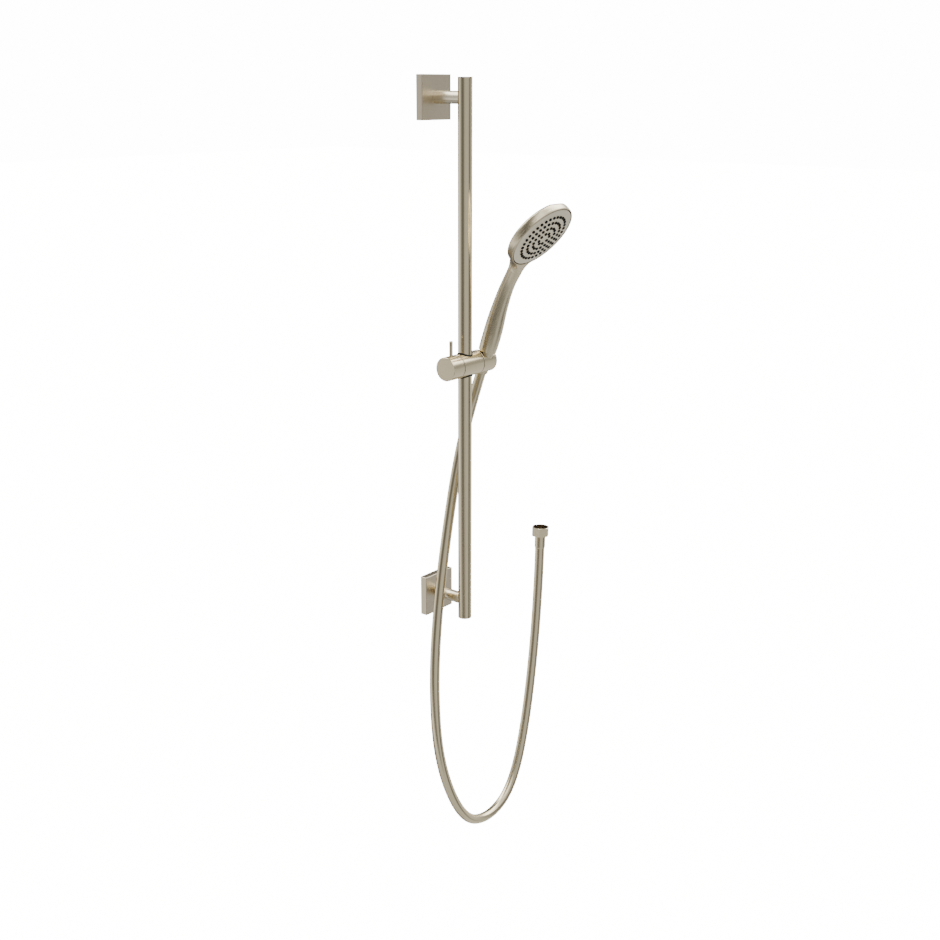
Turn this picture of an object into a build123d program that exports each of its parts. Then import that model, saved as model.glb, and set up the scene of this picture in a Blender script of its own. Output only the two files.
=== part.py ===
from build123d import *
import math
import os

os.makedirs("parts", exist_ok=True)

# ---------------------------------------------------------------- dimensions (mm)
# X runs right along the wall, +Y into the wall, Z up; wall plane y = 0,
# origin at the centre of the lower bracket's back face.
RAIL_R = 9.5
RAIL_BORE = 8.0
RAIL_Y = -57.6
RAIL_BOT = -27.0
RAIL_TOP = 710.5
UPPER_Z = 685.2
POST_R = 8.25
POST_BORE = 5.05
PLATE_W = 57.5
PLATE_T = 10.35
PLATE_WALL = 1.7
BRACKET_W = 50.0
BRACKET_T = 2.5
SPIGOT_R = 5.0
SPIGOT_END = -26.0
SCREW_X = 18.0
SCREW_HOLE_R = 2.25
STUD_R = 2.5

SL_Z = 339.05          # slider axis height
SL_R = 16.2
KNOB_X0, KNOB_X1 = -41.4, -18.9
BODY_X0, BODY_X1 = -18.6, 22.2
HOLD_X0, HOLD_X1 = 22.6, 50.5
LINER_ID_R = 9.55
LINER_OD_R = 10.6
BODY_HOLE_R = 10.65
LINER_PROUD = 1.3
LEVER_X = -29.3
LEVER_R = 2.5
LEVER_TOP = 36.5
SPINDLE_R = 4.0

HAND_X = 37.0
FOOT = Vector(37.0, -61.12, 337.82)   # handle axis, s = 0
AX = Vector(0, -0.329, 0.944).normalized()
SLOT_W = 16.0
S_RIM = 17.0

HEAD_A = Vector(37.0, -158.46, 510.79)  # apex of the domed spray face
HEAD_TILT = 39.2
DOME_R = 316.0
FACE_R = 46.5
FACE_T = 1.2
MAT_T = 1.0
RING_R = [8.86, 17.63, 26.40, 35.20]
RING_N = [8, 16, 24, 32]
RING_OFF = [22.5, 0.0, 7.5, 0.0]
SEAM = 0.75                      # chamfer either side of the knob, body and holder seams
NOZ_R = 2.10
NOZ_HOLE_R = 2.20
NOZ_BORE_R = 0.45
NOZ_PROUD = 0.8

HOSE_R = 7.25
HOSE_BORE = 5.0
HOSE_PTS = [
    (37.0, -60.0, 334.61), (37.0, -41.06, 280.26), (23.13, -33.5, 223.89),
    (5.88, -28.8, 144.84), (-22.21, -28.2, 7.47), (-43.08, -34.5, -124.59),
    (-39.45, -41.5, -253.94), (7.08, -48.5, -362.88), (68.45, -50.0, -386.92),
    (128.14, -50.0, -358.93), (166.16, -48.6, -251.01), (191.3, -48.0, -70.84),
    (193.9, -48.0, 38.0)]
NUT_AF = 24.0
NUT_LEN = 14.0
G12_R = 10.3

# ---------------------------------------------------------------- helpers


def save(shape, name):
    s = shape
    if isinstance(s, ShapeList):
        s = max(s, key=lambda k: k.volume)
    sol = s.solids()
    if len(sol) > 1:
        print("!!", name, "solids", len(sol), [round(k.volume, 3) for k in sol])
        s = max(sol, key=lambda k: k.volume)
    elif len(sol) == 1:
        s = sol[0]
    s.label = name
    export_step(s, "parts/" + name + ".step")
    print(name, round(s.volume, 1), "valid", s.is_valid)


def cyl(plane, r, h, z0=0.0):
    # cylinder of radius r from z0 to z0 + h in the plane's own frame
    c = Cylinder(r, h, align=(Align.CENTER, Align.CENTER, Align.MIN))
    return plane * Pos(0, 0, z0) * c


def rev(plane, pts):
    # lathe a closed (r, z) outline about the plane's normal
    w = Polyline([(p[0], 0, p[1]) for p in pts], close=True)
    f = make_face(w)
    return plane * revolve(f, Axis.Z, 360)


def tube(plane, ro, ri, h, z0=0.0):
    return rev(plane, [(ri, z0), (ro, z0), (ro, z0 + h), (ri, z0 + h)])


def boxc(x0, x1, y0, y1, z0, z1):
    return Pos((x0 + x1) / 2, (y0 + y1) / 2, (z0 + z1) / 2) * Box(x1 - x0, y1 - y0, z1 - z0)


def plane_at(o, zdir, xdir=(1, 0, 0)):
    return Plane(origin=o, x_dir=xdir, z_dir=zdir)


# ---------------------------------------------------------------- rail
railp = plane_at((0, RAIL_Y, 0), (0, 0, 1))
rail = tube(railp, RAIL_R, RAIL_BORE, RAIL_TOP - RAIL_BOT, RAIL_BOT)
for zc in (0.0, UPPER_Z):
    rail = rail - cyl(plane_at((0, RAIL_Y, zc), (0, 1, 0)), 2.7, 12.0)
save(rail, "rail_tube")
cap = rev(railp, [(0, 0), (7.95, 0), (7.95, 10), (6.0, 10), (6.0, 2.2), (0, 2.2)])
save(Pos(0, 0, RAIL_BOT) * cap, "rail_bottom_cap")
capt = rev(railp, [(0, 0), (7.95, 0), (7.95, -10), (6.0, -10), (6.0, -2.2), (0, -2.2)])
save(Pos(0, 0, RAIL_TOP) * capt, "rail_top_cap")

# ---------------------------------------------------------------- wall side, twice
for side, zc in (("lower", 0.0), ("upper", UPPER_Z)):
    out = plane_at((0, 0, zc), (0, -1, 0))        # local z = away from the wall
    h = BRACKET_W / 2
    br = boxc(-h, h, -BRACKET_T, 0, zc - h, zc + h)
    br = fillet(br.edges().filter_by(Axis.Y), 3.0)
    for sx in (-SCREW_X, SCREW_X):
        br = br - cyl(plane_at((sx, 1, zc), (0, -1, 0)), SCREW_HOLE_R, 6.0)
    spig = rev(out, [(0, BRACKET_T - 0.5), (SPIGOT_R, BRACKET_T - 0.5), (SPIGOT_R, 15.4), (4.4, 16.0),
                     (4.4, 20.0), (SPIGOT_R, 20.6), (SPIGOT_R, 25.4), (4.4, 26.0), (0, 26.0)])
    save(br + spig, side + "_wall_bracket")

    w = PLATE_W / 2
    shell = boxc(-w, w, -PLATE_T, 0, zc - w, zc + w)
    shell = fillet(shell.edges().filter_by(Axis.Y), 1.2)
    shell = fillet(shell.faces().sort_by(Axis.Y)[0].edges(), 0.8)
    wi = w - PLATE_WALL
    shell = shell - boxc(-wi, wi, -(PLATE_T - PLATE_WALL), 5, zc - wi, zc + wi)
    shell = shell - cyl(out, POST_R + 0.05, 20.0)
    save(shell, side + "_cover_plate")

    post = tube(out, POST_R, POST_BORE, 26.5 - BRACKET_T - 0.05, BRACKET_T + 0.05) + \
        cyl(out, POST_R, 57.6 - 26.5, 26.5)
    post = post - cyl(plane_at((0, RAIL_Y, zc - 20), (0, 0, 1)), RAIL_R + 0.05, 40.0)
    ps = post.solids().sort_by(SortBy.VOLUME)[-1]
    ps = ps - cyl(out, STUD_R + 0.05, 30.0, 36.0)
    ps = ps - cyl(plane_at((0, -18.0, zc - 12.0), (0, 0, 1)), 2.05, 12.0)
    save(ps, side + "_post")
    gp = plane_at((0, -18.0, zc), (0, 0, -1))
    grub = cyl(gp, 2.0, 3.3, 4.55) - gp * Pos(0, 0, 6.6) * extrude(RegularPolygon(1.1, 6), 2.0)
    save(grub, side + "_grub_screw")
    save(cyl(out, STUD_R, 24.0, 37.0), side + "_rail_stud")
    ins = cyl(plane_at((0, RAIL_Y, zc - 11), (0, 0, 1)), 7.95, 22.0)
    ins = ins - cyl(plane_at((0, RAIL_Y - 12, zc), (0, 1, 0)), STUD_R + 0.05, 30.0)
    save(ins, side + "_rail_insert")

# ---------------------------------------------------------------- slider
slx = plane_at((0, RAIL_Y, SL_Z), (1, 0, 0), (0, 1, 0))     # local z = +X


def xcyl(r, x0, x1):
    return cyl(slx, r, x1 - x0, x0)


def xrev(pts):
    return rev(slx, [(p[1], p[0]) for p in pts])


vert = plane_at((0, RAIL_Y, SL_Z - 30), (0, 0, 1))
liner = tube(vert, LINER_OD_R, LINER_ID_R, 60.0)
liner = liner & xcyl(SL_R + LINER_PROUD, -30, 30)
liner = liner - boxc(-0.6, 0.6, RAIL_Y + 5, RAIL_Y + 15, SL_Z - 40, SL_Z + 40)
save(liner, "rail_liner")

body = xrev([(BODY_X0, 0), (BODY_X0, SL_R - SEAM), (BODY_X0 + SEAM, SL_R), (BODY_X1 - SEAM, SL_R),
             (BODY_X1, SL_R - SEAM), (BODY_X1, 0)])
body = body - cyl(vert, BODY_HOLE_R, 60.0)
body = body - xcyl(SPINDLE_R + 0.3, BODY_X0 - 1, -5)
body = body - xcyl(6.1, 16.0, BODY_X1 + 1) - xcyl(2.75, 12, 20) - xcyl(4.7, 5, 14.3)
save(body, "slider_body")
pad = xcyl(SPINDLE_R + 0.2, -14.0, -8.0) - cyl(vert, LINER_OD_R + 0.1, 60.0)
save(pad, "brake_pad")
save(rev(slx, [(6.4, BODY_X1 + 0.05), (14.2, BODY_X1 + 0.05), (14.2, HOLD_X0 - 0.1),
               (6.4, HOLD_X0 - 0.1)]), "friction_washer")

knob = xrev([(KNOB_X0, 0), (KNOB_X0, SL_R - 0.6), (KNOB_X0 + 0.6, SL_R), (KNOB_X1 - SEAM, SL_R),
             (KNOB_X1, SL_R - SEAM), (KNOB_X1, 0)])
knob = knob - xcyl(SPINDLE_R + 0.05, -36.2, KNOB_X1 + 1)
lev = plane_at((LEVER_X, RAIL_Y, SL_Z), (0, 0, 1))
knob = knob - cyl(lev, LEVER_R + 0.05, 20.0, 8.0)
gk = plane_at((LEVER_X, RAIL_Y, SL_Z), (0, 0, -1))
knob = knob - cyl(gk, 1.55, 20.0, 2.0)
save(knob, "lock_knob")
save(xrev([(-36.0, 0), (-36.0, 3.6), (-35.6, SPINDLE_R), (-14.8, SPINDLE_R), (-14.3, 3.5), (-14.3, 0)]),
     "clamp_spindle")
save(cyl(gk, 1.5, 7.0, 4.05), "knob_grub_screw")
lever = rev(lev, [(0, 8.2), (LEVER_R, 8.2), (LEVER_R, 31.4), (1.8, 31.7), (1.8, 33.3), (LEVER_R, 33.6),
                  (LEVER_R, 35.7), (1.9, 36.3), (1.2, LEVER_TOP), (0, LEVER_TOP)])
save(lever, "lock_lever")
save(tube(lev, LEVER_R + 0.1, 1.85, 1.4, 31.8), "lever_ring")

holder = xrev([(HOLD_X0, 0), (HOLD_X0, SL_R - SEAM), (HOLD_X0 + SEAM, SL_R), (HOLD_X1 - 0.6, SL_R),
               (HOLD_X1, SL_R - 0.6), (HOLD_X1, 0)])
holder = holder + xcyl(5.8, 16.3, HOLD_X0 + 1)
hax = Plane(origin=FOOT, x_dir=(1, 0, 0), z_dir=AX)
S0, S1 = -24.0, 24.0


def nut_r(s):
    return 9.0 + (9.9 - 9.0) * (s + 15.4) / 32.0


bore = rev(hax, [(0, S0), (nut_r(S0) + 0.3, S0), (nut_r(S1) + 0.3, S1), (0, S1)])
holder = holder - bore
slot = hax * Pos(0, 20, 0) * Box(SLOT_W, 40.0, 60.0)
# the slot opens on the wall side, square to the handle axis
holder = holder - slot
holder = holder - xcyl(2.05, 15, 25.2)
save(holder, "holder")
screw = xcyl(2.0, 13.6, 25.0) + xcyl(4.3, 11.3, 13.9)
screw = screw - slx * Pos(0, 0, 11.0) * extrude(RegularPolygon(1.6, 6), 1.6)
save(screw, "pivot_screw")

# ---------------------------------------------------------------- handset: hose end fittings
NUT_S0, NUT_S1 = -15.4, 16.6
nut = rev(hax, [(7.95, NUT_S0), (nut_r(NUT_S0) - 0.2, NUT_S0), (nut_r(NUT_S0), NUT_S0 + 0.3),
                (nut_r(NUT_S1) - 0.02, NUT_S1 - 0.5), (nut_r(NUT_S1) - 0.5, NUT_S1), (7.55, NUT_S1),
                (7.55, 1.2), (6.3, 1.2), (6.3, -1.2), (7.95, -1.2)])
save(nut, "hose_cone_nut")
insert = rev(hax, [(3.6, -17.0), (4.9, -17.0), (4.9, -3.0), (5.8, -2.6), (5.8, 1.5), (7.3, 1.5),
                   (7.3, 3.6), (3.6, 3.6)])
save(insert, "hose_insert")
ferr = rev(hax, [(HOSE_R + 0.05, -16.3), (7.75, -16.3), (7.75, -1.7), (6.0, -1.7), (6.0, -3.0),
                 (HOSE_R + 0.05, -3.0)])
save(ferr, "hose_ferrule")
save(tube(hax, 7.2, 4.2, 2.0, 3.9), "filter_washer")
nip = rev(hax, [(4.2, 6.0), (7.2, 6.0), (7.5, 6.3), (7.5, 17.05), (10.15, 17.05), (10.15, 27.0),
                (6.0, 27.0), (6.0, 31.0), (4.9, 31.0), (4.9, 22.0), (6.0 - 0.8, 21.0), (4.2, 20.0)])
save(nip, "inlet_nipple")
save(tube(hax, 4.8, 1.2, 3.0, 22.6), "flow_regulator")

# ---------------------------------------------------------------- handset shell
hp = Plane(origin=HEAD_A, x_dir=(1, 0, 0),
           z_dir=(0, -math.cos(math.radians(90 - 50.8)), -math.sin(math.radians(HEAD_TILT))))
nvec = hp.z_dir
bvec = hp.y_dir


def head_pt(b, h):
    return HEAD_A + bvec * b - nvec * h


# handle sections: centre (y, z) and outer radius, from the rim up to the neck
sec = [(-66.713, 353.868, 12.35), (-69.30, 361.29, 12.70), (-72.02, 368.90, 12.85), (-76.69, 382.51, 12.80),
       (-81.16, 396.62, 12.25), (-85.86, 410.66, 11.30), (-91.09, 424.64, 10.50),
       (-96.88, 438.56, 9.80), (-103.86, 452.49, 9.35)]
cen = [Vector(HAND_X, y, z) for y, z, r in sec]
rad = [r for y, z, r in sec]
for b, h, r in ((-63.8, 7.9, 9.65), (-52.0, 11.2, 10.1), (-40.0, 12.9, 9.1), (-28.0, 12.4, 7.7)):
    cen.append(head_pt(b, h))
    rad.append(r)


def tang(i):
    if i == 0:
        return AX
    if i == len(cen) - 1:
        return (cen[i] - cen[i - 1]).normalized()
    return (cen[i + 1] - cen[i - 1]).normalized()


def sweep_loft(off, first, last):
    faces = []
    for i in range(first, last):
        pl = Plane(origin=cen[i], x_dir=(1, 0, 0), z_dir=tang(i))
        faces.append((pl * Circle(rad[i] - off)).face())
    return loft(faces)


outer_h = sweep_loft(0.0, 0, len(cen))
prof_out = [(47.5, -3.0), (48.5, -3.6), (49.3, -5.3), (49.5, -9.0), (49.0, -12.6), (46.3, -15.6),
            (40.0, -18.2), (30.0, -20.2), (15.0, -21.6), (0.0, -22.0)]
sp = Spline([(p[0], 0, p[1]) for p in prof_out])
ln = Polyline([(0, 0, -22.0), (0, 0, -3.0), (47.5, 0, -3.0)])
head_out = hp * revolve(make_face(sp + ln), Axis.Z, 360)
prof_in = [(46.8, 5.0), (46.8, -9.5), (45.6, -12.0), (42.5, -14.6), (36.0, -17.0), (25.0, -18.7),
           (12.0, -19.6), (0.0, -19.9), (0.0, 5.0)]
head_in = rev(hp, prof_in)
front_cut = cyl(hp, 49.35, 30.0, -3.0)
shell = outer_h + head_out
shell = shell - front_cut
shell = shell - head_in
inner_h = sweep_loft(2.0, 0, len(cen))
shell = shell - inner_h
shell = shell - cyl(hax, 10.2, 16.0, S_RIM - 3.0)
boss = rev(hp, [(0, -21.0), (5.0, -21.0), (5.0, -11.0), (0, -11.0)])
shell = shell + boss
shell = shell - cyl(hp, 1.55, 8.0, -18.0)
save(shell, "handle_shell")


# ---------------------------------------------------------------- spray head insides
def sag(r):
    return r * r / (2 * DOME_R)


def dome_disc(rad_o, h0, h1, r_in=0.0):
    n = 12
    pts = [(r_in + (rad_o - r_in) * i / n, -sag(r_in + (rad_o - r_in) * i / n) - h0) for i in range(n + 1)]
    top = Spline([(p[0], 0, p[1]) for p in pts])
    pts2 = [(p[0], p[1] - (h1 - h0)) for p in pts]
    bot = Spline([(p[0], 0, p[1]) for p in pts2[::-1]])
    l1 = Line((pts[-1][0], 0, pts[-1][1]), (pts2[-1][0], 0, pts2[-1][1]))
    l2 = Line((pts2[0][0], 0, pts2[0][1]), (pts[0][0], 0, pts[0][1]))
    return revolve(make_face(top + l1 + bot + l2), Axis.Z, 360)


noz = []
for rr, nn, oo in zip(RING_R, RING_N, RING_OFF):
    for k in range(nn):
        t = math.radians(oo + 360.0 * k / nn)
        noz.append((rr * math.cos(t), rr * math.sin(t), rr))

face = dome_disc(FACE_R, 0.0, FACE_T)
holes = [Pos(x, y, -8) * Cylinder(NOZ_HOLE_R, 16) for x, y, rr in noz]
face = face - holes
save(hp * face, "face_plate")

mat = dome_disc(FACE_R, FACE_T + 0.05, FACE_T + 0.05 + MAT_T)
nz = [Pos(x, y, -sag(rr) + NOZ_PROUD - 1.5) * Cylinder(NOZ_R, 3.0) for x, y, rr in noz]
mat = mat + nz
bo = [Pos(x, y, -5) * Cylinder(NOZ_BORE_R, 16) for x, y, rr in noz]
mat = mat - bo
save(hp * mat, "nozzle_mat")

# distributor: shallow dish behind the mat, with a side port for the water tube
TUBE_H = 12.9
dist = rev(Plane.XY, [(0, -8.4), (45.4, -8.4), (45.4, -8.0), (45.0, -8.0), (45.0, -6.2), (45.4, -6.2),
                      (45.4, -5.8), (43.6, -5.75), (43.6, -6.9), (0, -6.9)])
port = Pos(0, -16, -TUBE_H) * Rot(90, 0, 0) * Cylinder(5.1, 16)
dist = dist + (port & (Pos(0, 0, -15.0) * Box(40, 60, 14.0)))
dist = dist - Pos(0, -18, -TUBE_H) * Rot(90, 0, 0) * Cylinder(4.05, 14)
dist = dist - Pos(0, -14, -9.0) * Cylinder(2.6, 8)
dist = dist - Cylinder(1.6, 30)
save(hp * dist, "distributor")
save(rev(hp, [(0, -5.3), (3.0, -5.3), (3.0, -6.85), (1.5, -6.85), (1.5, -16.5), (0, -16.5)]), "head_screw")
oring = hp * Pos(0, 0, -7.1) * Torus(45.9, 0.85)
save(oring, "head_o_ring")

# water tube: from the nipple, up the handle, into the distributor's side port
start = FOOT + AX * 27.2
tp = [start, Vector(37, -76.69, 382.51), Vector(37, -85.86, 410.66), Vector(37, -96.6, 438.5),
      head_pt(-64.5, 9.2), head_pt(-46.0, 12.8), head_pt(-27.0, TUBE_H), head_pt(-14.0, TUBE_H)]
tpath = Spline([tuple(p) for p in tp], tangents=[tuple(AX), tuple(bvec)])
prof = Plane(origin=tp[0], x_dir=(1, 0, 0), z_dir=AX) * Circle(4.0)
prof_i = Plane(origin=tp[0], x_dir=(1, 0, 0), z_dir=AX) * Circle(3.0)
wt = sweep(prof, tpath) - sweep(prof_i, tpath)
save(wt, "water_tube")

# ---------------------------------------------------------------- hose and its wall end
n = len(HOSE_PTS)
radii = []
seg = [math.dist(HOSE_PTS[i], HOSE_PTS[i + 1]) for i in range(n - 1)]
for i in range(1, n - 1):
    a = [HOSE_PTS[i - 1][k] - HOSE_PTS[i][k] for k in range(3)]
    b = [HOSE_PTS[i + 1][k] - HOSE_PTS[i][k] for k in range(3)]
    la, lb = seg[i - 1], seg[i]
    turn = math.pi - math.acos(sum(a[k] * b[k] for k in range(3)) / la / lb)
    radii.append(0.45 * min(la, lb) / math.tan(turn / 2))
print("hose runs", [round(s) for s in seg], "radii", [round(r) for r in radii])
hpath = FilletPolyline(*HOSE_PTS, radius=radii)
d0 = Vector(*HOSE_PTS[1]) - Vector(*HOSE_PTS[0])
hpl = Plane(origin=HOSE_PTS[0], z_dir=d0.normalized())
hose = sweep(hpl * (Circle(HOSE_R) - Circle(HOSE_BORE)), hpath)
L = hpath.length
print("hose length", round(L, 1), "volume ratio",
      round(hose.volume / (math.pi * (HOSE_R ** 2 - HOSE_BORE ** 2) * L), 4))
save(hose, "shower_hose")

E = Vector(*HOSE_PTS[-1])
dE = (E - Vector(*HOSE_PTS[-2])).normalized()
ep = Plane(origin=E, x_dir=(0, 1, 0), z_dir=dE)
save(rev(ep, [(HOSE_R + 0.05, -16.0), (7.75, -16.0), (8.1, -15.0), (8.1, 1.8), (5.0, 1.8), (5.0, 0.05),
              (HOSE_R + 0.05, 0.05)]), "end_ferrule")
save(rev(ep, [(3.6, -14.0), (4.9, -14.0), (4.9, 6.5), (8.9, 6.5), (8.9, 8.5), (3.6, 8.5)]), "end_insert")
hexa = ep * Pos(0, 0, 3.0) * extrude(RegularPolygon(NUT_AF / 2 / math.cos(math.pi / 6), 6), NUT_LEN)
hexa = hexa & rev(ep, [(0, 3.0), (12.4, 3.0), (13.9, 4.0), (13.9, 16.0), (12.4, 17.0), (0, 17.0)])
hexa = hexa - cyl(ep, 5.3, 20.0) - cyl(ep, G12_R, 20.0, 6.2) - cyl(ep, G12_R + 0.4, 3.9, 6.2)
save(hexa, "inlet_nut")
save(tube(ep, 9.8, 5.2, 1.5, 8.55), "inlet_washer")
print("inlet nut mouth", E + dE * 17.0, "axis", dE)
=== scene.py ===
import math

import bmesh
import bpy
import numpy as np
from mathutils import Matrix, Vector


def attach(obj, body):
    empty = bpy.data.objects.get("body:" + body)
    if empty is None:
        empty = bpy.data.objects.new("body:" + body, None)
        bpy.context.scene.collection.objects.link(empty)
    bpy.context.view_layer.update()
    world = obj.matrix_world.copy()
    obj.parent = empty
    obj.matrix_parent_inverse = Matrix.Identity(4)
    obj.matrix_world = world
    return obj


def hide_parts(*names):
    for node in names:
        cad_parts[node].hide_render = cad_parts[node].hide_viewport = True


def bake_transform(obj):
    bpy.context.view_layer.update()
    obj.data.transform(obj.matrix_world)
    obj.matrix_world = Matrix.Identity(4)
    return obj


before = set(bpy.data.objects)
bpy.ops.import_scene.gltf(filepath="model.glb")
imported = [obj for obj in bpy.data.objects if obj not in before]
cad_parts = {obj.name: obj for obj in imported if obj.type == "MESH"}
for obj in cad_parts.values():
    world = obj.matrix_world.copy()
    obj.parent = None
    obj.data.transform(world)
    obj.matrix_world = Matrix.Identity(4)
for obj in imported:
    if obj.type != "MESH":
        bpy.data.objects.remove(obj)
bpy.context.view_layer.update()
scene = bpy.context.scene
MM = 0.001

# ------------------------------------------------------------------ camera
yaw, pitch, roll = math.radians(51.095), math.radians(16.44), math.radians(0.098)
fwd = Vector((math.sin(yaw) * math.cos(pitch), math.cos(yaw) * math.cos(pitch), -math.sin(pitch)))
right = Vector((math.cos(yaw), -math.sin(yaw), 0.0))
up = right.cross(fwd)
r2 = math.cos(roll) * right + math.sin(roll) * up
u2 = -math.sin(roll) * right + math.cos(roll) * up
cam_data = bpy.data.cameras.new("camera")
cam_data.lens = 50.0
cam_data.sensor_width = 36.0
cam_data.clip_end = 100.0
cam = bpy.data.objects.new("camera", cam_data)
scene.collection.objects.link(cam)
m = Matrix((r2, u2, -fwd)).transposed().to_4x4()
m.translation = Vector((-1.339417, -1.147604, 0.700627))
cam.matrix_world = m
scene.camera = cam


# ------------------------------------------------------------------ helpers
def link(o):
    scene.collection.objects.link(o)
    return o


def new_mat(name):
    mt = bpy.data.materials.new(name)
    mt.use_nodes = True
    nt = mt.node_tree
    return mt, nt, nt.nodes["Principled BSDF"]


def metal(name, color, rough, aniso, bump=0.0, scale=(400.0, 400.0, 400.0), grain=0.06):
    """Brushed nickel: fine grain in the roughness and the tone, stretched along the brushing."""
    mt, nt, b = new_mat(name)
    b.inputs["Metallic"].default_value = 1.0
    b.inputs["Anisotropic"].default_value = aniso
    b.inputs["IOR"].default_value = 2.2
    tc = nt.nodes.new("ShaderNodeTexCoord")
    mp = nt.nodes.new("ShaderNodeMapping")
    mp.inputs["Scale"].default_value = scale
    nt.links.new(tc.outputs["Object"], mp.inputs["Vector"])
    nz = nt.nodes.new("ShaderNodeTexNoise")
    nz.inputs["Scale"].default_value = 1.0
    nz.inputs["Detail"].default_value = 4.0
    nz.inputs["Roughness"].default_value = 0.6
    nt.links.new(mp.outputs["Vector"], nz.inputs["Vector"])
    mr = nt.nodes.new("ShaderNodeMapRange")
    mr.inputs["From Min"].default_value = 0.3
    mr.inputs["From Max"].default_value = 0.7
    mr.inputs["To Min"].default_value = rough - grain
    mr.inputs["To Max"].default_value = rough + grain
    nt.links.new(nz.outputs["Fac"], mr.inputs["Value"])
    nt.links.new(mr.outputs["Result"], b.inputs["Roughness"])
    cr = nt.nodes.new("ShaderNodeMix")
    cr.data_type = "RGBA"
    cr.inputs[6].default_value = (color[0] * 0.96, color[1] * 0.96, color[2] * 0.95, 1)
    cr.inputs[7].default_value = (min(1, color[0] * 1.04), min(1, color[1] * 1.04), min(1, color[2] * 1.05), 1)
    nt.links.new(nz.outputs["Fac"], cr.inputs[0])
    nt.links.new(cr.outputs[2], b.inputs["Base Color"])
    if bump > 0:
        bp = nt.nodes.new("ShaderNodeBump")
        bp.inputs["Strength"].default_value = bump
        bp.inputs["Distance"].default_value = 0.0002
        nt.links.new(nz.outputs["Fac"], bp.inputs["Height"])
        nt.links.new(bp.outputs["Normal"], b.inputs["Normal"])
    return mt


def plain(name, color, rough, metallic=0.0, spec=0.5, bump=0.0, scale=600.0):
    mt, nt, b = new_mat(name)
    b.inputs["Base Color"].default_value = (*color, 1)
    b.inputs["Roughness"].default_value = rough
    b.inputs["Metallic"].default_value = metallic
    b.inputs["Specular IOR Level"].default_value = spec
    if bump > 0:
        tc = nt.nodes.new("ShaderNodeTexCoord")
        nz = nt.nodes.new("ShaderNodeTexNoise")
        nz.inputs["Scale"].default_value = scale
        nt.links.new(tc.outputs["Object"], nz.inputs["Vector"])
        bp = nt.nodes.new("ShaderNodeBump")
        bp.inputs["Strength"].default_value = bump
        bp.inputs["Distance"].default_value = 0.0001
        nt.links.new(nz.outputs["Fac"], bp.inputs["Height"])
        nt.links.new(bp.outputs["Normal"], b.inputs["Normal"])
    return mt


NICKEL = (0.69, 0.600, 0.415)
M_X = metal("nickel_brushed_round_x", NICKEL, 0.22, 0.0, 0.012, (2500, 60, 60), 0.02)      # turned about X
M_Z = metal("nickel_brushed_long_z", NICKEL, 0.20, 0.0, 0.012, (1600, 1600, 40), 0.02)    # along the rail
M_Y = metal("nickel_brushed_long_y", (0.73, 0.66, 0.51), 0.26, 0.0, 0.012, (60, 1800, 60), 0.02)
M_P = metal("nickel_brushed_plate", (0.60, 0.530, 0.405), 0.30, 0.0, 0.012, (60, 1800, 1800), 0.03)
M_H = metal("nickel_brushed_handset", (0.62, 0.545, 0.39), 0.27, 0.0, 0.004, (900, 900, 900), 0.01)
M_F = metal("nickel_satin_face", (0.68, 0.625, 0.50), 0.40, 0.0, 0.015, (2000, 2000, 2000), 0.02)
M_HOSE = metal("nickel_hose", NICKEL, 0.20, 0.0, 0.008, (1500, 1500, 60), 0.02)
M_STEEL = metal("steel_plain", (0.56, 0.56, 0.55), 0.35, 0.0)
M_BRASS = metal("brass_machined", (0.72, 0.53, 0.24), 0.3, 0.0)
M_RUB = plain("black_rubber", (0.004, 0.004, 0.004), 0.7, spec=0.08, bump=0.1)
M_BLK = plain("black_plastic", (0.010, 0.010, 0.012), 0.4, spec=0.3, bump=0.05)
M_WHT = plain("white_plastic", (0.75, 0.75, 0.72), 0.4, bump=0.05)

looks = {
    "rail_tube": M_Z, "rail_top_cap": M_Z, "rail_bottom_cap": M_Z, "end_ferrule": M_Z, "end_insert": M_BRASS,
    "rail_liner": M_BLK, "slider_body": M_X, "brake_pad": M_BLK, "friction_washer": M_BLK,
    "lock_knob": M_X, "clamp_spindle": M_STEEL, "knob_grub_screw": M_STEEL, "lock_lever": M_Z,
    "lever_ring": M_Z, "holder": M_X, "pivot_screw": M_STEEL, "hose_insert": M_BRASS, "hose_ferrule": M_H,
    "face_plate": M_F, "nozzle_mat": M_RUB, "distributor": M_WHT, "head_o_ring": M_RUB, "head_screw": M_STEEL,
    "water_tube": M_WHT, "inlet_nipple": M_BRASS, "flow_regulator": M_WHT, "filter_washer": M_RUB,
    "hose_cone_nut": M_H, "inlet_nut": M_Z, "inlet_washer": M_RUB}
for s in ("lower_", "upper_"):
    looks.update({s + "wall_bracket": M_STEEL, s + "cover_plate": M_P, s + "post": M_Y,
                  s + "grub_screw": M_STEEL, s + "rail_stud": M_STEEL, s + "rail_insert": M_BRASS})
for name, mt in looks.items():
    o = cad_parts[name]
    o.data.materials.clear()
    o.data.materials.append(mt)
    o.data.shade_smooth()


def mesh_object(name, verts, faces, mat, smooth=True):
    me = bpy.data.meshes.new(name)
    me.from_pydata([tuple(v) for v in verts], [], [tuple(f) for f in faces])
    me.update()
    if smooth:
        me.shade_smooth()
    me.materials.append(mat)
    return link(bpy.data.objects.new(name, me))


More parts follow.
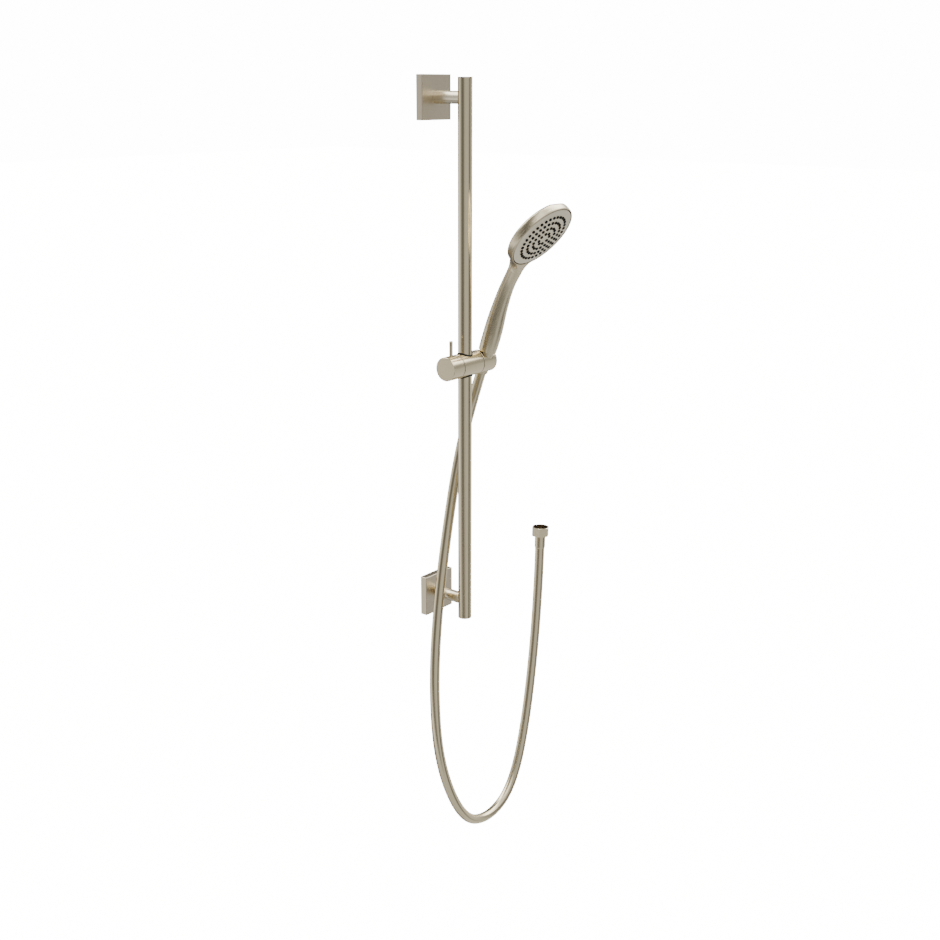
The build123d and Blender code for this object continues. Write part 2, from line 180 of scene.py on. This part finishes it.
# ------------------------------------------------------------------ hose
# the route's control points, in metres, from the holder to the supply nut
route = [
    (0.0370, -0.0600, 0.33461), (0.0370, -0.04106, 0.28026), (0.02313, -0.0335, 0.22389),
    (0.00588, -0.0288, 0.14484), (-0.02221, -0.0282, 0.00747), (-0.04308, -0.0345, -0.12459),
    (-0.03945, -0.0415, -0.25394), (0.00708, -0.0485, -0.36288), (0.06845, -0.0500, -0.38692),
    (0.12814, -0.0500, -0.35893), (0.16616, -0.0486, -0.25101), (0.1913, -0.0480, -0.07084),
    (0.1939, -0.0480, 0.0380)]
HOSE_R = 0.00725
crv = bpy.data.curves.new("hose_route", "CURVE")
crv.dimensions = "3D"
sp = crv.splines.new("NURBS")
sp.points.add(len(route) - 1)
for p, co in zip(sp.points, route):
    p.co = (*co, 1.0)
sp.order_u = 3
sp.use_endpoint_u = True
crv.resolution_u = 48
route_obj = link(bpy.data.objects.new("hose_route", crv))
dg = bpy.context.evaluated_depsgraph_get()
tmp = bpy.data.meshes.new_from_object(route_obj.evaluated_get(dg))
line = np.array([v.co[:] for v in tmp.vertices])
bpy.data.meshes.remove(tmp)
bpy.data.objects.remove(route_obj)
dist = np.r_[0, np.cumsum(np.linalg.norm(np.diff(line, axis=0), axis=1))]
total = dist[-1]


def at(d):
    return np.array([np.interp(d, dist, line[:, k]) for k in range(3)])


step = 0.0035
count = int(round(total / step))
ds = np.linspace(0, total, count + 1)
pts = np.array([at(d) for d in ds])
tan = np.gradient(pts, axis=0)
tan /= np.linalg.norm(tan, axis=1)[:, None]
# frames carried along the line without twist
nor = np.zeros_like(pts)
n0 = np.cross(tan[0], (1, 0, 0))
nor[0] = n0 / np.linalg.norm(n0)
for i in range(1, len(pts)):
    v = nor[i - 1] - tan[i] * np.dot(nor[i - 1], tan[i])
    nor[i] = v / np.linalg.norm(v)
bino = np.cross(tan, nor)
SEG = 40


def tube_piece(name, i0, i1, cap0, cap1, mat):
    verts, faces = [], []
    ang = np.linspace(0, 2 * math.pi, SEG, endpoint=False)
    rings = list(range(i0, i1 + 1))
    for i in rings:
        for a in ang:
            verts.append(pts[i] + HOSE_R * (math.cos(a) * nor[i] + math.sin(a) * bino[i]))
    for k in range(len(rings) - 1):
        for j in range(SEG):
            a, b = k * SEG + j, k * SEG + (j + 1) % SEG
            faces.append((a, b, b + SEG, a + SEG))
    if cap0:
        faces.append(tuple(range(SEG))[::-1])
    if cap1:
        o = (len(rings) - 1) * SEG
        faces.append(tuple(range(o, o + SEG)))
    ob = mesh_object(name, verts, faces, mat)
    # each piece keeps the whole hose's normals, so the joints between the pieces don't show
    me = ob.data
    vn = []
    for i in rings:
        for a in ang:
            vn.append(tuple(math.cos(a) * nor[i] + math.sin(a) * bino[i]))
    loops = [(0, 0, 0)] * len(me.loops)
    for p in me.polygons:
        for li in p.loop_indices:
            vi = me.loops[li].vertex_index
            loops[li] = vn[vi] if len(p.vertices) == 4 else tuple(p.normal)
    me.normals_split_custom_set(loops)
    return ob


def idx_at_z(zv, lo, hi):
    seg = range(lo, hi)
    return min(seg, key=lambda i: abs(pts[i][2] - zv))


bottom = int(np.argmin(pts[:, 2]))
iA = int(round(0.0900 / total * count))
iB = int(round(0.2150 / total * count))
iC = int(round(0.3070 / total * count))
iD = idx_at_z(-0.215, 0, bottom)
iE = idx_at_z(-0.215, bottom, count)
cuts = [0, iA, iB, iC, iD, iE, count]
names = ["hose_a", "hose_b", "hose_c", "hose_left", "hose_bend", "hose_right"]
hose = []
for k, nm in enumerate(names):
    hose.append(tube_piece(nm, cuts[k], cuts[k + 1], k == 0, k == 5, M_HOSE))
P = [Vector(pts[c]) for c in cuts]


def chord(k):
    return P[k], P[k + 1]


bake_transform(hose[0])
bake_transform(hose[1])
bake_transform(hose[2])
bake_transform(hose[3])
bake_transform(hose[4])
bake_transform(hose[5])
for o in hose:
    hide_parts("shower_hose")

# ------------------------------------------------------------------ handset shell
AXV = np.array([0.0, -0.329, 0.944])
AXV /= np.linalg.norm(AXV)
FOOT = np.array([37.0, -61.12, 337.82])
S_RIM = 17.0
A = np.array([37.0, -158.46, 510.79])
e = math.radians(39.2)
NV = np.array([0.0, -math.cos(e), -math.sin(e)])
BV = np.array([0.0, -math.sin(e), math.cos(e)])


def head_pt(b, h):
    return A + BV * b - NV * h


def catmull(P_, n):
    P_ = np.array(P_, float)
    Q = np.vstack([2 * P_[0] - P_[1], P_, 2 * P_[-1] - P_[-2]])
    out = []
    for i in range(1, len(Q) - 2):
        for t in np.linspace(0, 1, n, endpoint=False):
            a, b, c, d = Q[i - 1], Q[i], Q[i + 1], Q[i + 2]
            out.append(0.5 * ((2 * b) + (c - a) * t + (2 * a - 5 * b + 4 * c - d) * t ** 2
                              + (3 * b - a - 3 * c + d) * t ** 3))
    out.append(Q[-2])
    return np.array(out)


low = FOOT + AXV * 5.0
ctl = [(low[1], low[2], 12.2), (-66.713, 353.868, 12.35), (-69.30, 361.29, 12.70), (-72.02, 368.90, 12.85),
       (-76.69, 382.51, 12.80), (-81.16, 396.62, 12.25), (-85.86, 410.66, 11.30), (-91.09, 424.64, 10.50),
       (-96.88, 438.56, 9.80), (-103.86, 452.49, 9.35)]
for b, h, r in ((-63.8, 8.0, 9.7), (-57.0, 9.8, 10.1), (-50.0, 12.0, 10.1), (-40.0, 13.0, 9.0), (-28.0, 12.4, 7.5)):
    q = head_pt(b, h)
    ctl.append((q[1], q[2], r))
sweep = catmull(ctl, 8)

outline = [(0.0, 3.3), (47.2, 3.3), (47.7, 3.2), (48.3, 3.5), (48.85, 4.25), (49.2, 5.3),
           (49.4, 6.6), (49.5, 9.0), (49.45, 11.5), (49.2, 13.2), (48.4, 14.7), (46.8, 16.0), (43.8, 17.2),
           (40.0, 18.3), (35.0, 19.4), (28.0, 20.6), (19.0, 21.4), (9.0, 21.9), (0.0, 22.0)]


def seg_dist2(px, py, ax_, ay, bx, by):
    dx, dy = bx - ax_, by - ay
    t = np.clip(((px - ax_) * dx + (py - ay) * dy) / (dx * dx + dy * dy), 0, 1)
    return (px - ax_ - t * dx) ** 2 + (py - ay - t * dy) ** 2


def head_sdf(X, Y, Z):
    vx, vy, vz = X - A[0], Y - A[1], Z - A[2]
    h = -(vy * NV[1] + vz * NV[2])
    b = vy * BV[1] + vz * BV[2]
    R = np.sqrt(vx * vx + b * b)
    d2 = np.full(R.shape, 1e9, np.float32)
    inside = np.zeros(R.shape, bool)
    n = len(outline)
    for i in range(n):
        (ax_, ay), (bx, by) = outline[i], outline[(i + 1) % n]
        if i < n - 1:
            d2 = np.minimum(d2, seg_dist2(R, h, ax_, ay, bx, by))
        cond = (ay > h) != (by > h)
        if ay != by:
            inside ^= cond & (R < (bx - ax_) * (h - ay) / (by - ay) + ax_)
    d = np.sqrt(d2)
    return np.where(inside, -d, d), R, h


def handle_sdf(X, Y, Z):
    d = np.full(X.shape, 1e9, np.float32)
    vx = X - 37.0
    for i in range(len(sweep) - 1):
        y0, z0, r0 = sweep[i]
        y1, z1, r1 = sweep[i + 1]
        dy, dz = y1 - y0, z1 - z0
        t = np.clip(((Y - y0) * dy + (Z - z0) * dz) / (dy * dy + dz * dz), 0, 1)
        q = np.sqrt(vx ** 2 + (Y - y0 - t * dy) ** 2 + (Z - z0 - t * dz) ** 2) - (r0 + t * (r1 - r0))
        d = np.minimum(d, q)
    return d


def full_sdf(X, Y, Z):
    hd, R, h = head_sdf(X, Y, Z)
    hn = handle_sdf(X, Y, Z)
    k = 15.0
    w = np.clip(0.5 + 0.5 * (hn - hd) / k, 0, 1)
    u = hn * (1 - w) + hd * w - k * w * (1 - w)
    # the neck stays behind the rim's front, and the recess for the spray face is open
    u = smooth_max(u, np.where(R < 90.0, 2.7 - np.maximum(R - 49.0, 0.0) * 0.33 - h, -50.0), 2.0)
    u = np.maximum(u, np.minimum(48.2 - R, 7.0 - h))
    # flat end at the bottom of the handle
    s = (Y - FOOT[1]) * AXV[1] + (Z - FOOT[2]) * AXV[2]
    u = smooth_max(u, S_RIM - s, 1.0)
    return u


def smooth_max(a, b, k):
    w = np.clip(0.5 - 0.5 * (b - a) / k, 0, 1)
    return b * (1 - w) + a * w + k * w * (1 - w)


def surface_net(f, lo, hi, step_):
    n = [int(math.ceil((hi[i] - lo[i]) / step_)) + 1 for i in range(3)]
    ax_ = [lo[i] + step_ * np.arange(n[i], dtype=np.float32) for i in range(3)]
    X, Y, Z = np.meshgrid(*ax_, indexing="ij")
    F = f(X, Y, Z).astype(np.float32)
    ins = F < 0
    c = ins[:-1, :-1, :-1].astype(np.int8)
    tot = sum(ins[i:n[0] - 1 + i, j:n[1] - 1 + j, k:n[2] - 1 + k].astype(np.int8)
              for i in (0, 1) for j in (0, 1) for k in (0, 1))
    act = (tot > 0) & (tot < 8)
    ids = -np.ones(act.shape, np.int64)
    cells = np.argwhere(act)
    ids[act] = np.arange(len(cells))
    acc = np.zeros((len(cells), 3))
    num = np.zeros(len(cells))
    offs = [(i, j, k) for i in (0, 1) for j in (0, 1) for k in (0, 1)]
    for a in offs:
        for d in range(3):
            if a[d] == 1:
                continue
            b = list(a)
            b[d] = 1
            fa = F[cells[:, 0] + a[0], cells[:, 1] + a[1], cells[:, 2] + a[2]]
            fb = F[cells[:, 0] + b[0], cells[:, 1] + b[1], cells[:, 2] + b[2]]
            cr = (fa < 0) != (fb < 0)
            t = np.where(cr, fa / np.where(cr, fa - fb, 1), 0)
            p = np.repeat(np.array(a, float)[None], len(cells), 0)
            p[:, d] += t
            acc[cr] += p[cr]
            num[cr] += 1
    verts = (cells + acc / num[:, None]) * step_ + np.array(lo)
    faces = []
    for d in range(3):
        sl_a = [slice(None)] * 3
        sl_b = [slice(None)] * 3
        sl_a[d], sl_b[d] = slice(0, -1), slice(1, None)
        ia, ib = ins[tuple(sl_a)], ins[tuple(sl_b)]
        e1, e2 = (d + 1) % 3, (d + 2) % 3
        for flip, cond in ((False, ia & ~ib), (True, ~ia & ib)):
            g = np.argwhere(cond)
            ok = (g[:, e1] > 0) & (g[:, e2] > 0) & (g[:, e1] < n[e1] - 1) & (g[:, e2] < n[e2] - 1)
            g = g[ok]
            quad = []
            for o1, o2 in ((-1, -1), (0, -1), (0, 0), (-1, 0)):
                q = g.copy()
                q[:, e1] += o1
                q[:, e2] += o2
                quad.append(ids[q[:, 0], q[:, 1], q[:, 2]])
            qd = np.stack(quad, 1)
            if flip:
                qd = qd[:, ::-1]
            faces.append(qd)
    return verts, np.vstack(faces)


res = 0.9
lo = (37 - 52.0, -202.0, 350.0)
hi = (37 + 52.0, -52.0, 556.0)
verts, faces = surface_net(full_sdf, lo, hi, res)


def grad(v, eps=0.15):
    g = []
    for k in range(3):
        d = np.zeros(3)
        d[k] = eps
        a, b = v + d, v - d
        g.append(full_sdf(a[:, 0], a[:, 1], a[:, 2]) - full_sdf(b[:, 0], b[:, 1], b[:, 2]))
    return np.stack(g, 1) / (2 * eps)


for _ in range(3):
    f0 = full_sdf(verts[:, 0], verts[:, 1], verts[:, 2])
    g = grad(verts)
    g2 = np.maximum((g ** 2).sum(1), 0.25)
    verts = verts - np.clip(f0 / g2, -1, 1)[:, None] * g
gn = grad(verts, 0.25)
gn /= np.linalg.norm(gn, axis=1)[:, None]
shell = mesh_object("handset_shell", verts * MM, faces, M_H)
shell.data.normals_split_custom_set_from_vertices([tuple(v) for v in gn])
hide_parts("handle_shell")
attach(shell, "handset")

# the rim's front edge, turned separately so that the groove round the spray face stays crisp
ring_prof = [(48.2, 8.2), (47.75, 8.0), (47.75, 3.45), (47.8, 3.15), (47.95, 2.95), (48.2, 2.98), (48.55, 3.25), (48.9, 3.75),
             (49.2, 4.5), (49.38, 5.5), (49.44, 6.4), (49.3, 7.4)]
N_RING = 256
rv, rf = [], []
for i in range(N_RING):
    t = 2 * math.pi * i / N_RING
    rad_v = np.array([1.0, 0, 0]) * math.cos(t) + BV * math.sin(t)
    for R_, h_ in ring_prof:
        rv.append((A + rad_v * R_ - NV * h_) * MM)
m_ = len(ring_prof)
for i in range(N_RING):
    j = (i + 1) % N_RING
    for k in range(m_):
        l = (k + 1) % m_
        rf.append((i * m_ + k, i * m_ + l, j * m_ + l, j * m_ + k))
rim = mesh_object("head_rim", rv, rf, M_H)
rbm = bmesh.new()
rbm.from_mesh(rim.data)
bmesh.ops.recalc_face_normals(rbm, faces=rbm.faces)
rbm.to_mesh(rim.data)
rbm.free()
rim.data.shade_smooth()
rim.data.set_sharp_from_angle(angle=math.radians(50))
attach(rim, "handset")



def turned(name, centre, axis, u_dir, prof, mat, sharp=40.0):
    """A closed ring: prof holds (radius, distance along axis) in mm."""
    c_, ax3, u3 = np.array(centre), np.array(axis), np.array(u_dir)
    w3 = np.cross(ax3, u3)
    vs, fs, m2 = [], [], len(prof)
    for i in range(192):
        t = 2 * math.pi * i / 192
        for R_, d_ in prof:
            vs.append((c_ + (u3 * math.cos(t) + w3 * math.sin(t)) * R_ + ax3 * d_) * MM)
    for i in range(192):
        j = (i + 1) % 192
        for k in range(m2):
            l = (k + 1) % m2
            fs.append((i * m2 + k, i * m2 + l, j * m2 + l, j * m2 + k))
    ob = mesh_object(name, vs, fs, mat)
    bm2 = bmesh.new()
    bm2.from_mesh(ob.data)
    bmesh.ops.recalc_face_normals(bm2, faces=bm2.faces)
    bm2.to_mesh(ob.data)
    bm2.free()
    ob.data.shade_smooth()
    ob.data.set_sharp_from_angle(angle=math.radians(sharp))
    return ob


# painted shade: black rings filling the two seams of the slider, standing in for the shade in their gaps
for nm, x0, x1 in (("seam_shadow_ring_knob", -19.32, -18.18), ("seam_shadow_ring_holder", 21.78, 23.02)):
    ob = turned(nm, (0, -57.6, 339.05), (1, 0, 0), (0, 0, 1), [(15.0, x0), (15.86, x0), (15.86, x1), (15.0, x1)], M_BLK)
    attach(ob, "slider")
# painted shade: a black rubber ring laid in the groove round the spray face, standing in for the groove's shade
ob = turned("groove_shade_ring", A, -NV, (1, 0, 0), [(46.6, 4.4), (47.74, 4.0), (47.74, 5.6), (46.6, 5.6)], M_RUB)
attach(ob, "handset")

# ------------------------------------------------------------------ floor, light
bpy.ops.mesh.primitive_plane_add(size=40, location=(0, 0, -0.62))
floor = bpy.context.object
floor.name = "floor"
fm, fnt, fb = new_mat("floor_pale")
fb.inputs["Base Color"].default_value = (0.92, 0.92, 0.92, 1)
fb.inputs["Roughness"].default_value = 0.9
fb.inputs["Specular IOR Level"].default_value = 0.0
fb.inputs["Emission Color"].default_value = (1, 1, 1, 1)
fb.inputs["Emission Strength"].default_value = 14.0
floor.data.materials.append(fm)
floor.visible_glossy = False
floor.visible_diffuse = False

world = bpy.data.worlds.new("world")
scene.world = world
world.use_nodes = True
wn = world.node_tree
for n_ in list(wn.nodes):
    wn.nodes.remove(n_)
out = wn.nodes.new("ShaderNodeOutputWorld")
bgc = wn.nodes.new("ShaderNodeBackground")
bgc.inputs["Color"].default_value = (1, 1, 1, 1)
bgc.inputs["Strength"].default_value = 15.0
bge = wn.nodes.new("ShaderNodeBackground")
mix = wn.nodes.new("ShaderNodeMixShader")
lp = wn.nodes.new("ShaderNodeLightPath")
wn.links.new(lp.outputs["Is Camera Ray"], mix.inputs[0])
wn.links.new(bge.outputs[0], mix.inputs[1])
wn.links.new(bgc.outputs[0], mix.inputs[2])
wn.links.new(mix.outputs[0], out.inputs["Surface"])
tcw = wn.nodes.new("ShaderNodeTexCoord")
sepw = wn.nodes.new("ShaderNodeSeparateXYZ")
wn.links.new(tcw.outputs["Generated"], sepw.inputs[0])


def wmath(op, a, b=None):
    nd = wn.nodes.new("ShaderNodeMath")
    nd.operation = op
    for i, v in enumerate((a, b)):
        if v is None:
            continue
        if isinstance(v, (int, float)):
            nd.inputs[i].default_value = v
        else:
            wn.links.new(v, nd.inputs[i])
    return nd.outputs[0]


# bearing round the room, from the direction (-sin yaw, -cos yaw), growing to the room's right
sy, cy = math.sin(yaw), math.cos(yaw)
gx, gy, gz = sepw.outputs[0], sepw.outputs[1], sepw.outputs[2]
toward = wmath("ADD", wmath("MULTIPLY", gx, -sy), wmath("MULTIPLY", gy, -cy))
side = wmath("ADD", wmath("MULTIPLY", gx, cy), wmath("MULTIPLY", gy, -sy))
bear = wmath("DIVIDE", wmath("ARCTAN2", side, toward), 2 * math.pi)
bear = wmath("ADD", bear, 0.5)
def wramp(fac, stops, lo_, hi_):
    """Grey level against fac, given as (position between lo_ and hi_, level up to 16)."""
    nd = wn.nodes.new("ShaderNodeValToRGB")
    wn.links.new(fac, nd.inputs[0])
    el = nd.color_ramp.elements
    while len(el) > 1:
        el.remove(el[-1])
    for i, (x_, v) in enumerate(stops):
        pos = (x_ - lo_) / (hi_ - lo_)
        if i == 0:
            el[0].position = pos
            it = el[0]
        else:
            it = el.new(pos)
        it.color = (v / 16, v / 16, v / 16, 1)
    return wmath("MULTIPLY", nd.outputs[0], 16.0)


def wlerp(a, b, t):
    return wmath("ADD", wmath("MULTIPLY", a, wmath("SUBTRACT", 1.0, t)), wmath("MULTIPLY", b, t))


elev = wmath("ADD", wmath("MULTIPLY", gz, 0.5), 0.5)
# room at and below eye height: dark panels and pale walls, leaning as they go down
lean = wmath("MINIMUM", wmath("ADD", gz, 0.30), 0.0)
lean = wmath("MULTIPLY", lean, wramp(bear, [(-180, 1), (15, 1), (60, 0), (180, 0)], -180, 180))
bear_l = wmath("ADD", bear, wmath("MULTIPLY", lean, 200.0 / 360.0))
low_room = wramp(bear_l, [(-180, 0.25), (-158, 0.30), (-140, 0.5), (-116, 1.9), (-92, 1.9), (-82, 1.15), (-66, 0.75),
                          (-58, 0.27), (-20, 0.25), (-10, 0.75), (2, 0.95), (48, 1.0), (58, 0.8), (67, 0.22),
                          (90, 0.26), (99, 1.0), (112, 1.15), (150, 1.2), (168, 0.9), (180, 0.3)], -180, 180)
high_room = wramp(bear, [(-180, 0.2), (-155, 0.3), (-135, 0.9), (-90, 1.1), (-76, 0.8), (-64, 0.45), (-50, 0.2),
                         (-30, 0.25), (-14, 0.6), (0, 0.8), (60, 0.8), (75, 0.5), (95, 0.5), (108, 0.7),
                         (125, 1.3), (150, 1.6), (165, 0.6), (180, 0.2)], -180, 180)
# lamps and dark gaps above
over = wramp(bear, [(-180, 0.15), (-168, 0.3), (-152, 0.9), (-128, 7.0), (-90, 7.0), (-76, 1.2), (-62, 0.2),
                    (-34, 0.2), (-24, 1.8), (0, 3.5), (48, 1.5), (80, 2.5), (104, 6.0), (126, 9.5),
                    (146, 9.5), (158, 1.8), (170, 0.6), (180, 0.15)], -180, 180)
under = wramp(bear, [(-180, 0.4), (-150, 0.4), (-118, 0.6), (-90, 0.9), (-60, 1.0), (60, 1.0), (100, 1.2),
                     (150, 1.25), (168, 0.9), (180, 0.4)], -180, 180)
t1 = wramp(elev, [(-1, 0), (-0.06, 0), (0.06, 1), (1, 1)], -1, 1)
room = wlerp(low_room, high_room, t1)
t2 = wramp(elev, [(-1, 0), (0.36, 0), (0.56, 1), (1, 1)], -1, 1)
t3 = wramp(elev, [(-1, 1), (-0.72, 1), (-0.56, 0), (1, 0)], -1, 1)
room = wlerp(room, over, t2)
mixv = wlerp(room, under, t3)
cmb = wn.nodes.new("ShaderNodeCombineColor")
wn.links.new(mixv, cmb.inputs[0])
wn.links.new(wmath("MULTIPLY", mixv, 0.99), cmb.inputs[1])
wn.links.new(wmath("MULTIPLY", mixv, 0.96), cmb.inputs[2])
wn.links.new(cmb.outputs[0], bge.inputs["Color"])
bge.inputs["Strength"].default_value = 0.8
